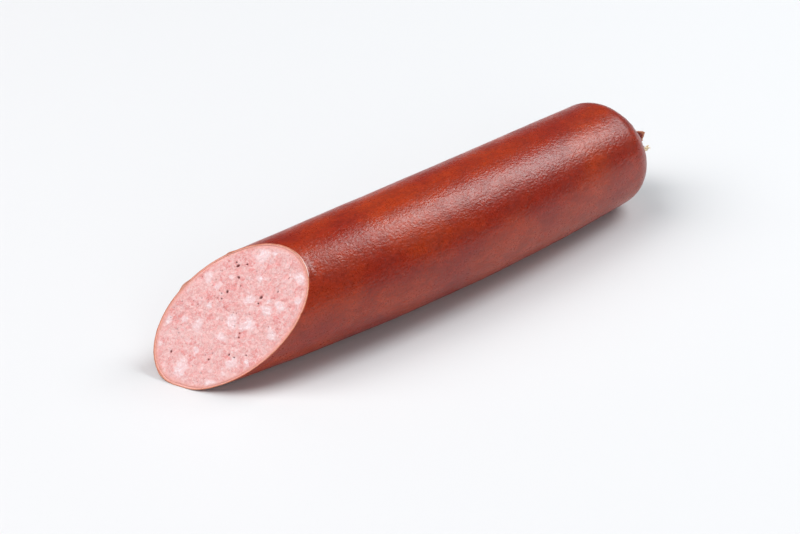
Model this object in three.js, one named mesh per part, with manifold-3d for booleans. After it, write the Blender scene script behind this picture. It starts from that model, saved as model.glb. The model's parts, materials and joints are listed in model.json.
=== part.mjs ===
// A length of cured sausage, cut on the slant at one end and tied with twine at the other.
// Three real pieces: the meat filling, the casing round it and the twine that ties the neck.
// Millimetres, +Z up. The sausage lies along X on the plane z = 0, with the cut end towards -X.

import * as THREE from "three";
import { mergeVertices } from "three/addons/utils/BufferGeometryUtils.js";
import Module from "manifold-3d";

const { degToRad, lerp, mapLinear, smoothstep } = THREE.MathUtils;

// Body: all distances "along" run on the centre line from the middle of the cut towards the tie.
const MIDDLE_RADIUS = 22.5; // thickest, half way along
const CUT_RADIUS = 20.7; // at the middle of the cut
const SHOULDER_RADIUS = 21.4; // where the closed end starts to round off
const SHOULDER_ALONG = 179.7;
const CROWN_LENGTH = 15.8; // from the shoulder to the tied neck
const CROWN_POWER = 2.2; // 2 is an ellipse, more is squarer
const BEND_RADIUS = 816; // the sausage lies in a gentle arc
const PRESSED_FLAT = 0.5; // how far its own weight flattens the underside
const SPARE_LENGTH = 34; // made past the middle of the cut, then sliced off

// Casing
const CASING_WALL = 0.6; // dried casing with the smoked crust that clings to it
const FILLING_GAP = 0.05; // film between the casing and the filling
const NECK_RADIUS = 4.1;
const NECK_LENGTH = 5.4;
const NECK_DROP = 2.5; // the tied neck sits a little below the centre line
const TAIL_LENGTH = 5.8;
const TAIL_RADIUS = 5;
const TAIL_FLARE = { along: 0.3, widened: 0.55 }; // most of the flare comes in the first third
const TAIL_CUP_DEPTH = 3.5; // hollow in the end of the tail
const TAIL_PLEATS = 7;
const PLEAT_DEPTH = { crown: 0.02, neck: 0.06, tail: 0.16 }; // as a share of the radius

// Knife cut
const CUT_ANGLE = degToRad(41.35); // between the cut face and the centre line
const CUT_ROLL = degToRad(29.2); // the face looks up and this far round to the -Y side

// Twine
const TWINE_RADIUS = 0.8;
const TWINE_TURNS = 2;
const TURN_GAP = 0.1; // between one turn and the next
const CLEARANCE = 0.3; // between the twine and the casing
const KNOT_ROUND = degToRad(215); // round the neck from +Y towards +Z: -Y side, low
const KNOT_REACH = { along: 2, round: 0.28 }; // half of the strand that crosses the turns (mm, radians)
const KNOT_LIFT = { top: 1.3, foot: 0.4 }; // how far the crossing strand rides up over the turns
// The two cut ends of the knot: one lies along the tail, the other points down and out.
const FREE_ENDS = [
  { length: 7.5, lean: 83, rootRound: 206, tipRound: 188 },
  { length: 10, lean: 40, rootRound: 224, tipRound: 248 },
]; // mm, then degrees: lean from straight out towards the tail, places round the neck

// Mesh fineness
const AROUND = 48;
const BODY_STEPS = 14;
const CROWN_STEPS = 9;
const TWINE_SIDES = 10;
const STEPS_PER_TURN = 24;

const COLOURS = { filling: 0xd89a94, casing: 0x8f2c14, twine: 0xe6dcc0 };

const NECK_ALONG = SHOULDER_ALONG + CROWN_LENGTH;
const TAIL_ALONG = NECK_ALONG + NECK_LENGTH;
const TAIL_END = TAIL_ALONG + TAIL_LENGTH;
const MIDDLE_ALONG = NECK_ALONG / 2;
const wasm = await Module();
wasm.setup();

// ---- Shape of the stuffed body ----

// Radius before the closed end rounds off: one smooth swell through cut, middle and shoulder.
function swellRadius(along) {
  const share = along / SHOULDER_ALONG;
  return (
    CUT_RADIUS * (1 - share) * (1 - 2 * share) +
    MIDDLE_RADIUS * 4 * share * (1 - share) +
    SHOULDER_RADIUS * share * (2 * share - 1)
  );
}

// Height of the centre line: the underside always reaches the table, and the neck droops.
function centreHeight(along) {
  if (along <= SHOULDER_ALONG) return swellRadius(along) - PRESSED_FLAT;
  const droop = smoothstep(along, SHOULDER_ALONG, NECK_ALONG);
  return SHOULDER_RADIUS - PRESSED_FLAT - NECK_DROP * droop;
}

// The centre line's own axes at a place along it: forward, sideways (+Y side) and up.
function centreFrame(along) {
  const heading = (along - MIDDLE_ALONG) / BEND_RADIUS;
  return {
    point: new THREE.Vector3(
      BEND_RADIUS * Math.sin(heading),
      BEND_RADIUS * (1 - Math.cos(heading)),
      centreHeight(along),
    ),
    forward: new THREE.Vector3(Math.cos(heading), Math.sin(heading), 0),
    sideways: new THREE.Vector3(-Math.sin(heading), Math.cos(heading), 0),
    up: new THREE.Vector3(0, 0, 1),
  };
}

function placeOnCentreLine(along, sideways, up) {
  const frame = centreFrame(along);
  return frame.point.addScaledVector(frame.sideways, sideways).addScaledVector(frame.up, up);
}

// Share of the radius by which the gathered casing folds in and out.
function pleatDepth(along) {
  const { crown, neck, tail } = PLEAT_DEPTH;
  if (along > TAIL_ALONG) return mapLinear(along, TAIL_ALONG, TAIL_END, neck, tail);
  if (along > NECK_ALONG) return neck;
  return crown * smoothstep(along, NECK_ALONG - CROWN_LENGTH / 2, NECK_ALONG);
}

// ---- Profiles: a radius (x) for each place along the centre line (y) ----

// The swelling body and the crown that closes it, drawn in by `inset` all round.
function bodyProfile(inset, smallestRadius) {
  const points = [];
  for (let step = 0; step <= BODY_STEPS; step++) {
    const along = lerp(-SPARE_LENGTH, SHOULDER_ALONG, step / BODY_STEPS);
    points.push(new THREE.Vector2(swellRadius(along) - inset, along));
  }
  const radius = SHOULDER_RADIUS - inset;
  const length = CROWN_LENGTH - inset;
  const lastTurn = Math.acos((smallestRadius / radius) ** (CROWN_POWER / 2));
  for (let step = 1; step <= CROWN_STEPS; step++) {
    const turn = (lastTurn * step) / CROWN_STEPS;
    points.push(
      new THREE.Vector2(
        radius * Math.cos(turn) ** (2 / CROWN_POWER),
        SHOULDER_ALONG + length * Math.sin(turn) ** (2 / CROWN_POWER),
      ),
    );
  }
  return points;
}

// The body on its own, closed on the centre line at both ends and drawn in by `inset`.
function closedBodyProfile(inset) {
  const skin = bodyProfile(inset, 0);
  return [new THREE.Vector2(0, -SPARE_LENGTH), ...skin.slice(0, -1), new THREE.Vector2(0, skin.at(-1).y)];
}

// The outside of the casing: body, crown, tied neck and the cupped tail beyond it.
function outsideProfile() {
  const { along, widened } = TAIL_FLARE;
  const rim = 2 * CASING_WALL; // the gathered casing is thicker than one wall
  return [
    new THREE.Vector2(0, -SPARE_LENGTH),
    ...bodyProfile(0, NECK_RADIUS),
    new THREE.Vector2(NECK_RADIUS, TAIL_ALONG),
    new THREE.Vector2(lerp(NECK_RADIUS, TAIL_RADIUS, widened), lerp(TAIL_ALONG, TAIL_END, along)),
    new THREE.Vector2(TAIL_RADIUS, TAIL_END),
    new THREE.Vector2(TAIL_RADIUS - rim, TAIL_END),
    new THREE.Vector2(NECK_RADIUS - rim, TAIL_END - TAIL_CUP_DEPTH / 2),
    new THREE.Vector2(0, TAIL_END - TAIL_CUP_DEPTH),
  ];
}

// ---- Geometry helpers ----

// A closed mesh as a solid: shared vertices merged, and the slivers at a lathe's poles dropped.
function toSolid(geometry) {
  const bare = new THREE.BufferGeometry();
  bare.setAttribute("position", geometry.getAttribute("position"));
  bare.setIndex(geometry.index);
  const merged = mergeVertices(bare, 1e-4);
  const corners = merged.index.array;
  const kept = [];
  for (let i = 0; i < corners.length; i += 3) {
    const [a, b, c] = corners.slice(i, i + 3);
    if (a !== b && b !== c && c !== a) kept.push(a, b, c);
  }
  return new wasm.Manifold(
    new wasm.Mesh({
      numProp: 3,
      vertProperties: new Float32Array(merged.attributes.position.array),
      triVerts: new Uint32Array(kept),
    }),
  );
}

function toMesh(name, solid, colour, roughness) {
  const { vertProperties, triVerts } = solid.getMesh();
  const geometry = new THREE.BufferGeometry();
  geometry.setAttribute("position", new THREE.BufferAttribute(vertProperties, 3));
  geometry.setIndex(new THREE.BufferAttribute(triVerts, 1));
  geometry.computeVertexNormals();
  const mesh = new THREE.Mesh(
    geometry,
    new THREE.MeshStandardMaterial({ color: colour, roughness, metalness: 0 }),
  );
  mesh.name = name;
  return mesh;
}

// Turns a profile round the centre line, bends it along the arc and presses it on the table.
// `lift` keeps the pressed part of an inner surface above the table by the wall that lies under it.
function turnedOnCentreLine(profile, lift, pleats) {
  const geometry = new THREE.LatheGeometry(profile, AROUND);
  const position = geometry.getAttribute("position");
  for (let i = 0; i < position.count; i++) {
    const along = position.getY(i);
    const round = Math.atan2(position.getX(i), position.getZ(i));
    const fold = 1 + pleatDepth(along) * Math.cos(pleats * round);
    const radius = Math.hypot(position.getX(i), position.getZ(i)) * (pleats > 0 ? fold : 1);
    const place = placeOnCentreLine(along, radius * Math.cos(round), radius * Math.sin(round));
    position.setXYZ(i, place.x, place.y, Math.max(place.z, lift));
  }
  return toSolid(geometry);
}

// A closed tube of round section along a curve.
function twineAlong(points, steps) {
  const section = new THREE.Shape();
  section.absarc(0, 0, TWINE_RADIUS, 0, 2 * Math.PI, false);
  return toSolid(
    new THREE.ExtrudeGeometry(section, {
      extrudePath: new THREE.CatmullRomCurve3(points),
      steps,
      curveSegments: TWINE_SIDES / 2,
    }),
  );
}

// ---- The pieces ----

// Everything on the waste side of the slanting knife cut.
function knifeBlock() {
  const { forward, sideways, up, point } = centreFrame(0);
  const faceNormal = forward
    .multiplyScalar(-Math.sin(CUT_ANGLE))
    .addScaledVector(up, Math.cos(CUT_ANGLE) * Math.cos(CUT_ROLL))
    .addScaledVector(sideways, -Math.cos(CUT_ANGLE) * Math.sin(CUT_ROLL));
  const size = 6 * MIDDLE_RADIUS;
  const block = new THREE.BoxGeometry(size, size, size).translate(0, 0, size / 2);
  block.applyQuaternion(new THREE.Quaternion().setFromUnitVectors(new THREE.Vector3(0, 0, 1), faceNormal));
  block.translate(point.x, point.y, point.z);
  return toSolid(block);
}

function filling(knife) {
  const inset = CASING_WALL + FILLING_GAP;
  const whole = turnedOnCentreLine(closedBodyProfile(inset), inset, 0);
  return toMesh("filling", whole.subtract(knife), COLOURS.filling, 0.5);
}

function casing(knife) {
  const outside = turnedOnCentreLine(outsideProfile(), 0, TAIL_PLEATS);
  const inside = turnedOnCentreLine(closedBodyProfile(CASING_WALL), CASING_WALL, 0);
  return toMesh("casing", outside.subtract(inside).subtract(knife), COLOURS.casing, 0.4);
}

// Turns round the neck, a strand knotted across them, and the two short cut ends of the knot.
function tieTwine() {
  const turnRadius = NECK_RADIUS * (1 + PLEAT_DEPTH.neck) + CLEARANCE + TWINE_RADIUS;
  const pitch = 2 * TWINE_RADIUS + TURN_GAP;
  const middle = NECK_ALONG + CLEARANCE + TWINE_RADIUS + (TWINE_TURNS * pitch) / 2;
  const onNeck = (along, radius, round) =>
    placeOnCentreLine(along, radius * Math.cos(round), radius * Math.sin(round));

  const turnSteps = TWINE_TURNS * STEPS_PER_TURN;
  const turns = Array.from({ length: turnSteps + 1 }, (_, step) => {
    const turned = step / STEPS_PER_TURN;
    const along = middle + pitch * (turned - TWINE_TURNS / 2);
    return onNeck(along, turnRadius, KNOT_ROUND + 2 * Math.PI * turned);
  });

  const crossing = [-1, -0.5, 0, 0.5, 1].map((share) =>
    onNeck(
      middle + share * KNOT_REACH.along,
      turnRadius + lerp(KNOT_LIFT.top, KNOT_LIFT.foot, share * share),
      KNOT_ROUND + share * KNOT_REACH.round,
    ),
  );

  const freeEnd = ({ length, lean, rootRound, tipRound }) =>
    [0, 0.3, 0.65, 1].map((share) =>
      onNeck(
        middle + length * share * Math.sin(degToRad(lean)),
        turnRadius + TWINE_RADIUS + length * share * Math.cos(degToRad(lean)),
        degToRad(lerp(rootRound, tipRound, share)),
      ),
    );

  const twine = twineAlong(turns, turnSteps)
    .add(twineAlong(crossing, 10))
    .add(twineAlong(freeEnd(FREE_ENDS[0]), 8))
    .add(twineAlong(freeEnd(FREE_ENDS[1]), 8));
  return toMesh("tie_twine", twine, COLOURS.twine, 0.9);
}

const knife = knifeBlock();
const sausage = new THREE.Group();
sausage.add(filling(knife), casing(knife), tieTwine());

// The origin is the middle of the footprint box, on the table.
const box = new THREE.Box3().setFromObject(sausage);
sausage.position.set(-(box.min.x + box.max.x) / 2, -(box.min.y + box.max.y) / 2, -box.min.z);

export default sausage;
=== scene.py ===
"""A length of smoked cured sausage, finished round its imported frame.

The casing, the cut filling and the tie are modelled here at the frame's own sizes, and stand for its
three plain solids. Metres, +Z up: the cut end is towards -X, the tied end towards +X.
"""

import json
import math
import random

import bpy
import numpy as np
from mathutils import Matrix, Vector, noise


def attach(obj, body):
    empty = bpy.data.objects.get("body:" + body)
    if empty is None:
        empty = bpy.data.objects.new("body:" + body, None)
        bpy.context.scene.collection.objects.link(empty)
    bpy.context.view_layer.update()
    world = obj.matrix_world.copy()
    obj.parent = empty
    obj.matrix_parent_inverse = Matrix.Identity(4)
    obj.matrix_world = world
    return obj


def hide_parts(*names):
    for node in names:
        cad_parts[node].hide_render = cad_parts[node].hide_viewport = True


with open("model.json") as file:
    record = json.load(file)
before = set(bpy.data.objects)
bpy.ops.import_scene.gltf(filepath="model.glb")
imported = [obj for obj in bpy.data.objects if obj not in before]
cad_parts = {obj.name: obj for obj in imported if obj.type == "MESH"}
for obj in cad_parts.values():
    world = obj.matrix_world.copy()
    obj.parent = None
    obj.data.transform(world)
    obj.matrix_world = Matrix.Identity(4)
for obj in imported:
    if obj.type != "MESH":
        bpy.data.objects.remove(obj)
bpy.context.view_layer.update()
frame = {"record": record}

MM = 0.001

# ---- Sizes of the stuffed body, as in the frame ----
# "along" runs on the bent centre line from the middle of the cut towards the tie. "turn" goes round it,
# from the +Y side (0) over the top (90 degrees) to the -Y side (180 degrees).
MIDDLE_RADIUS = 22.5 * MM
CUT_RADIUS = 20.7 * MM
SHOULDER_RADIUS = 21.4 * MM
SHOULDER_ALONG = 179.7 * MM
CROWN_LENGTH = 15.8 * MM
CROWN_POWER = 2.2
BEND_RADIUS = 816 * MM
PRESSED_FLAT = 0.5 * MM
NECK_RADIUS = 4.1 * MM
NECK_LENGTH = 5.4 * MM
NECK_DROP = 2.5 * MM
TAIL_LENGTH = 5.8 * MM
TAIL_RADIUS = 5 * MM
CASING_WALL = 0.6 * MM
FILLING_GAP = 0.05 * MM
CUT_ANGLE = math.radians(41.35)
CUT_ROLL = math.radians(29.2)

NECK_ALONG = SHOULDER_ALONG + CROWN_LENGTH
TAIL_ALONG = NECK_ALONG + NECK_LENGTH
MIDDLE_ALONG = NECK_ALONG / 2
# The frame's rest mount lies on the table under the middle of the centre line.
REST = frame["record"]["mounts"][0]["pos_m"]

# The flat underside blends into the round side over about this width, and the blend has died out
# at this height.
FLAT_BLEND = 0.7 * MM
BLEND_HEIGHT = 1.5 * MM

# ---- Camera and studio ----
CAMERA_AZIMUTH = math.radians(-42.3)
CAMERA_ELEVATION = math.radians(30)
CAMERA_DISTANCE = 0.9
CAMERA_LENS = 109.03
CAMERA_AIM = Vector((REST[0] - 6.34 * MM, REST[1] + 18.29 * MM, 0))
COOL_LIGHT = (0.93, 0.99, 1)
WARM_LIGHT = (1, 0.965, 0.95)
# Name, direction from the sausage, distance, width, depth, power, colour, and the share of the light
# that matt surfaces take: the right softbox is there for the gloss along the skin.
SOFTBOXES = (
    ("right softbox", (0.64, -0.17, 0.75), 1.7, 0.68, 1.05, 19, COOL_LIGHT, 0.3),
    ("left softbox", (-0.52, 0.34, 0.78), 2.4, 2.1, 2.1, 61, WARM_LIGHT, 1.0),
    ("front fill", (-0.45, -0.80, 0.40), 2.4, 1.6, 1.6, 16, WARM_LIGHT, 1.0),
)
TABLE_HALF = 4.0
TABLE_LEVEL = -0.1 * MM
TABLE_WHITE = (0.74, 0.74, 0.75, 1)
STUDIO_DIM = {"Color": (0.78, 0.88, 1, 1), "Strength": 0.16}
STUDIO_PALE = {"Color": (0.93, 0.93, 0.94, 1), "Strength": 0.95}

# ---- Casing ----
AROUND = 288
BODY_RINGS = 138
CROWN_RINGS = 46
NECK_RINGS = 16
NECK_BLEND = 6  # the higher, the sharper the corner between crown and neck
SKIN_SWELLS = ((26 * MM, 0.15 * MM), (9 * MM, 0.05 * MM), (3.2 * MM, 0.02 * MM))  # feature, height
SKIN_SETTLE = 0.05 * MM
PLEATS_ROUND = 3.2 * MM  # the wider, the more folds go round the neck
PLEAT_STRETCH = 14  # how much longer than wide the folds are
PLEAT_HEIGHT = 0.6 * MM
FILM_WALL = 0.17 * MM  # the film that peels off the crust at the cut
PEEL_FADE = 1.1 * MM  # the peeled film lies on the skin again about this far behind the cut
WAVER_FADE = 0.5 * MM
EDGE_STEPS = (0, 0.15, 0.35, 0.6, 1.0, 1.6, 2.4, 3.4, 4.6)  # rings just behind the cut, in mm
# Rings over the cut edge, from crust to film: inset from the skin, move along and out where the film
# peels, in shares of its lift, and share of the edge's waver.
EDGE_RINGS = (
    (0.42 * MM, 0, 0, 0.4),
    (0.22 * MM, 0, 0, 0.8),
    (FILM_WALL + 0.04 * MM, 2.2, 0.1, 0.8),
    (FILM_WALL, -0.5, 1, 1),
    (0.6 * FILM_WALL, -0.62, 1, 1),
)
EDGE_SMOKE = (0.35, 0.75, 1, 1, 1, 1, 1)  # how brown each of those rings is, and the first two of skin
# Rings between casing and filling: shares of the way to the shoulder, and how far round the crown.
HIDDEN_STEPS = (0, 0.004, 0.012, 0.03, 0.08, 0.2, 0.4, 0.6, 0.8, 0.94, 1)
HIDDEN_CROWN_ANGLE = math.radians(86)
# Peeled stretches of the cut edge: from and to in degrees of turn, how far the film lifts in mm, and
# whether it ends in a tear.
PEELS = ((97, 136, 0.8, True), (11, 23, 0.5, False), (49, 56, 0.3, False), (292, 301, 0.2, False))
# The peeled film is painted pale. Round this turn, within this many degrees, it is painted palest, as a
# painted highlight along its torn, lifted edge, and it is fainter elsewhere.
FILM_GLINT_TURN = 117
FILM_GLINT_REACH = 30
FAINT_FILM = 0.35
# Small tags of film that stand proud of the cut: degrees of turn, half width in degrees, height in mm.
TAGS = ((73, 1.6, 0.35), (165, 1.3, 0.25), (190, 1.1, 0.2), (206, 1.5, 0.3), (232, 1.2, 0.2))
# Flaps of the dried tail: degrees of turn, half width in degrees, share of the full length.
TAIL_FLAPS = ((137, 38, 1.0), (200, 30, 0.62), (254, 36, 0.9), (318, 34, 0.7), (52, 46, 0.86))
TAIL_RINGS = 14
CUP_RINGS = 12
TAIL_ROOT_SHARE = 0.42  # length share of the tail in the folds between its flaps
TAIL_WALL = 0.42 * MM
TAIL_LIP = 0.12 * MM
CUP_FLOOR = 1.4 * MM  # the bottom of the tail's cup, past the tie
CUP_POINT = 0.02 * MM

# The knife rounded off the low tip of the cut: middle and reach in degrees of turn, and depth.
SHAVED_TURN = 318
SHAVED_REACH = 75
SHAVED_DEPTH = 1.2 * MM

# ---- Filling ----
FACE_CELLS = 232
FACE_HALF_LENGTH = 29.0  # the area where fat and pores are scattered, in mm
FACE_HALF_WIDTH = 19.0
# Relief of the cut face: feature, height, how much the fat smooths it, and a shift of the noise.
FACE_RELIEF = (
    (11 * MM, 0.16 * MM, 0, 4.4),
    (2.4 * MM, 0.12 * MM, 0.6, 1.7),
    (0.9 * MM, 0.06 * MM, 0.7, 6.6),
)
FAT_PROUD = 0.05 * MM
AIR_PORE_DEPTH = 0.7 * MM
SMALL_PORE_DEPTH = 0.3 * MM
FACE_EDGE_DROP = 0.05 * MM
SMOKED_RIM = 2.2 * MM
# Pieces of back fat on the cut face: up the slant, across it, width, in mm.
FAT_PIECES = (
    (22, 11, 4.6), (26, 9, 1.7), (29, -4, 4.0), (2, 17, 3.3), (4, 12, 2.6), (10, 1, 3.4),
    (18, -8, 3.2), (1, -2, 4.4), (-10, 5, 3.6), (5, -6, 4.6), (13, -6, 4.2), (10, -14, 3.2),
    (-23, -4, 5.4), (-7, -14, 3.6), (-17, -16, 3.8), (-2, -17, 1.7), (-18, 13, 2.4), (-25, 8, 2.2),
    (-5, -4, 3.2), (-15, -2, 2.0), (-3, 8, 2.2), (24, -10, 2.6), (-13, 10, 2.4), (17, 5, 2.2),
)
# The larger air pores: up the slant, across it, radius, in mm.
AIR_PORES = (
    (13, 13.6, 0.52), (13.2, 15, 0.28), (11, 10, 0.4), (5, 8.2, 0.42), (14, -1, 0.48), (16, 12, 0.27),
    (10, 7, 0.22), (2, 7.4, 0.24), (3, 9, 0.2), (20, -3, 0.24), (12, -2.2, 0.27), (0, -8, 0.28),
    (-23, 3, 0.36), (-13, -8, 0.25), (-5, -13, 0.25), (-1, -15, 0.22), (-6, -11, 0.3), (1, -7, 0.2),
)
SMALL_PORES = 60
FAT_FLECKS = 70

# ---- Tie ----
TWINE_RADIUS = 0.8 * MM
TWINE_TURNS = 2
TURN_GAP = 0.1 * MM
TWINE_CLEARANCE = 0.3 * MM
KNOT_TURN = 215
KNOT_REACH = 2 * MM  # the crossing strand goes this far to either side of the turns
KNOT_TWIST = 16
STEPS_PER_TURN = 64
CROSSING_STEPS = 24
FREE_END_STEPS = 28
# What the twine's node tree is given: three plies laid round each path, and hairs for each square metre.
TWINE_SIZES = {
    "Plies": 3,
    "Ply Radius": 0.42 * MM,
    "Lay Radius": 0.4 * MM,
    "Twist Length": 5.5 * MM,
    "Step": 0.28 * MM,
    "Hair Density": 500000.0,
    "Hair Length": 0.9 * MM,
    "Seed": 5,
}
# The two cut ends of the knot: length in mm, lean towards the tail, where they start and end (degrees).
FREE_ENDS = ((7.5, 83, 206, 188), (10, 40, 224, 248))


# ---- Shape of the body ----


def smoothstep(value, low, high):
    share = np.clip((value - low) / (high - low), 0, 1)
    return share * share * (3 - 2 * share)


def angle_between(turn, degrees):
    """Signed distance in degrees of each turn from a place round the body."""
    return (np.degrees(turn) - degrees + 180) % 360 - 180


def swell_radius(along):
    """Radius before the closed end rounds off: one swell through cut, middle and shoulder."""
    share = along / SHOULDER_ALONG
    return (
        CUT_RADIUS * (1 - share) * (1 - 2 * share)
        + MIDDLE_RADIUS * 4 * share * (1 - share)
        + SHOULDER_RADIUS * share * (2 * share - 1)
    )


def centre_height(along):
    """The underside reaches the table all the way, and the neck droops."""
    level = swell_radius(np.minimum(along, SHOULDER_ALONG)) - PRESSED_FLAT
    return level - NECK_DROP * smoothstep(along, SHOULDER_ALONG, NECK_ALONG)


def place(along, turn, radius, lift=0.0):
    """Points at a radius round the bent centre line, pressed flat at `lift` above the table."""
    heading = (along - MIDDLE_ALONG) / BEND_RADIUS
    sideways = radius * np.cos(turn)
    x = REST[0] + BEND_RADIUS * np.sin(heading) - np.sin(heading) * sideways
    y = REST[1] + BEND_RADIUS * (1 - np.cos(heading)) + np.cos(heading) * sideways
    z = centre_height(along) + radius * np.sin(turn)
    above = z - lift
    lowest = (math.hypot(PRESSED_FLAT, FLAT_BLEND) - PRESSED_FLAT) / 2
    above = (above + np.hypot(above, FLAT_BLEND)) / 2 - lowest * np.exp(-above / BLEND_HEIGHT)
    return np.stack([x, y, lift + np.maximum(above, 0)], axis=-1)


def noise_at(points, feature, shift=0.0):
    """Smooth noise, about -1 to 1, with features of the given width, at an array of points."""
    scaled = (points / feature + shift).reshape(-1, 3).tolist()
    return np.array([noise.noise(point) for point in scaled]).reshape(points.shape[:-1])


def unrolled(along, turn, radius=MIDDLE_RADIUS):
    """Points of a straight tube, where noise meets itself round the body."""
    along, turn = np.broadcast_arrays(along, turn)
    return np.stack([along, radius * np.cos(turn), radius * np.sin(turn)], axis=-1)


def body_relief(along, turn):
    """How far the tight skin swells off its plain shape."""
    points = unrolled(along, turn)
    swells = sum(height * noise_at(points, feature) for feature, height in SKIN_SWELLS)
    return swells - SKIN_SETTLE


def gather(along):
    """0 on the body, 1 where the casing is drawn together at the neck."""
    return smoothstep(along, SHOULDER_ALONG + 0.2 * CROWN_LENGTH, NECK_ALONG)


def pleat_relief(along, turn):
    """Sharp folds that run from the crown into the neck."""
    points = unrolled(along / PLEAT_STRETCH, turn, PLEATS_ROUND)
    broad = 1 - 2.4 * np.abs(noise_at(points, MM))
    fine = 1 - 2.4 * np.abs(noise_at(points, 0.45 * MM, 7.3))
    return PLEAT_HEIGHT * gather(along) * (0.7 * broad + 0.3 * fine - 0.5)


# ---- The knife cut ----


def cut_axes():
    """Middle of the cut, its outward normal, and the face's own axes: up the slant, and across."""
    heading = -MIDDLE_ALONG / BEND_RADIUS
    forward = np.array([math.cos(heading), math.sin(heading), 0])
    sideways = np.array([-math.sin(heading), math.cos(heading), 0])
    upward = np.array([0, 0, 1.0])
    normal = (
        -math.sin(CUT_ANGLE) * forward
        + math.cos(CUT_ANGLE) * math.cos(CUT_ROLL) * upward
        - math.cos(CUT_ANGLE) * math.sin(CUT_ROLL) * sideways
    )
    up_slant = forward - forward.dot(normal) * normal
    up_slant /= np.linalg.norm(up_slant)
    middle = place(np.array(0.0), np.array(0.0), 0.0)
    return middle, normal, up_slant, np.cross(normal, up_slant)


CUT_MIDDLE, CUT_NORMAL, UP_SLANT, ACROSS_SLANT = cut_axes()


def cut_along(turn, inset):
    """Where the knife meets the line that runs along the body at each turn."""
    low = np.full_like(turn, -34 * MM)
    high = np.full_like(turn, 40 * MM)
    for _ in range(40):
        middle = (low + high) / 2
        points = place(middle, turn, swell_radius(middle) - inset, inset)
        waste = (points - CUT_MIDDLE) @ CUT_NORMAL > 0
        low = np.where(waste, middle, low)
        high = np.where(waste, high, middle)
    away = np.clip(np.abs(angle_between(turn, SHAVED_TURN)) / SHAVED_REACH, 0, 1)
    return low + SHAVED_DEPTH * np.cos(away * math.pi / 2) ** 2


# ---- Mesh helpers ----


def grid_quads(rows, columns, start=0):
    """Faces of a grid of points whose last column joins its first."""
    row, column = np.meshgrid(np.arange(rows - 1), np.arange(columns), indexing="ij")
    after = (column + 1) % columns
    corners = [row * columns + column, row * columns + after, (row + 1) * columns + after]
    corners.append((row + 1) * columns + column)
    return (np.stack(corners, axis=-1).reshape(-1, 4) + start).tolist()


def fan(ring_start, columns, pole, reverse=False):
    """Triangles that close a ring of points on a pole."""
    triangles = []
    for column in range(columns):
        here, after = ring_start + column, ring_start + (column + 1) % columns
        triangles.append((after, here, pole) if reverse else (here, after, pole))
    return triangles


def new_object(name, data):
    """An object at the origin, in the scene."""
    piece = bpy.data.objects.new(name, data)
    bpy.context.scene.collection.objects.link(piece)
    return piece


def make_piece(name, points, faces, material, attributes):
    """A smooth mesh piece with its material and one float attribute for each mask."""
    mesh = bpy.data.meshes.new(name)
    mesh.from_pydata(points.reshape(-1, 3).tolist(), [], faces)
    mesh.materials.append(material)
    for key, values in attributes.items():
        attribute = mesh.attributes.new(key, "FLOAT", "POINT")
        attribute.data.foreach_set("value", np.asarray(values, np.float32).ravel())
    mesh.shade_smooth()
    return new_object(name, mesh)


# ---- Casing ----


def film_lift(turn):
    """How far the film has peeled off the crust at the cut, in metres."""
    lift = np.zeros_like(turn)
    for start, end, height, torn in PEELS:
        share = np.clip(angle_between(turn, start) / (end - start), 0, 1.0001)
        if torn:
            curve = np.where(share <= 1, smoothstep(share, 0, 1) ** 1.3, 0)
        else:
            curve = np.sin(np.pi * np.clip(share, 0, 1)) ** 2
        lift += height * MM * curve
    return lift


def rim_waver(turn):
    """The cut edge isn't a perfect line: small waves, and tags of film that the knife left."""
    points = unrolled(np.zeros_like(turn), turn)
    waver = 0.09 * MM * noise_at(points, 2.1 * MM) + 0.05 * MM * noise_at(points, 0.8 * MM, 3.1)
    for degrees, half_width, height in TAGS:
        waver += height * MM * np.exp(-((angle_between(turn, degrees) / half_width) ** 2))
    return waver


def tail_flap(turn):
    """0 in the folds between the tail's flaps, 1 on the middle of each; and the flap's length share."""
    shape = np.zeros_like(turn)
    reach = np.zeros_like(turn)
    for degrees, half_width, share in TAIL_FLAPS:
        inside = np.clip(1 - np.abs(angle_between(turn, degrees)) / half_width, 0, 1)
        shape = np.maximum(shape, inside**0.6)
        reach = np.maximum(reach, share * inside)
    return shape, reach


def outer_body(turn):
    """Rings of the skin from the cut to the shoulder: along and radius, with the peeled film."""
    start = cut_along(turn, 0.0)
    near = np.array(EDGE_STEPS)[:, None] * MM
    share = np.linspace(0, 1, BODY_RINGS + 1)[1:, None]
    far = start + near[-1] + (SHOULDER_ALONG - start - near[-1]) * share
    along = np.concatenate([start + near, far])
    behind = along - start
    lift = film_lift(turn)
    radius = swell_radius(along) + body_relief(along, turn)
    radius += lift * np.exp(-((behind / PEEL_FADE) ** 2))
    along = along - (rim_waver(turn) + 0.6 * lift) * np.exp(-((behind / WAVER_FADE) ** 2))
    return along, radius


def crown_and_neck(turn):
    """Rings from the shoulder over the crown and along the tied neck, with their pleats."""
    last = math.acos((NECK_RADIUS / SHOULDER_RADIUS) ** (CROWN_POWER / 2))
    step = np.linspace(0, last, CROWN_RINGS + 1)[1:]
    along = SHOULDER_ALONG + CROWN_LENGTH * np.sin(step) ** (2 / CROWN_POWER)
    radius = SHOULDER_RADIUS * np.cos(step) ** (2 / CROWN_POWER)
    radius = (radius**NECK_BLEND + NECK_RADIUS**NECK_BLEND) ** (1 / NECK_BLEND)
    neck = np.linspace(along[-1], TAIL_ALONG, NECK_RINGS + 1)[1:]
    along = np.concatenate([along, neck])
    radius = np.concatenate([radius, np.full(len(neck), NECK_RADIUS)])
    slope_along, slope_radius = np.gradient(along), np.gradient(radius)
    steepness = np.hypot(slope_along, slope_radius)
    out_along, out_radius = -slope_radius / steepness, slope_along / steepness
    along = np.repeat(along[:, None], len(turn), axis=1)
    radius = np.repeat(radius[:, None], len(turn), axis=1)
    fade = 1 - gather(along)
    relief = body_relief(along, turn) * fade + pleat_relief(along, turn)
    return along + relief * out_along[:, None], radius + relief * out_radius[:, None]


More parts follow.
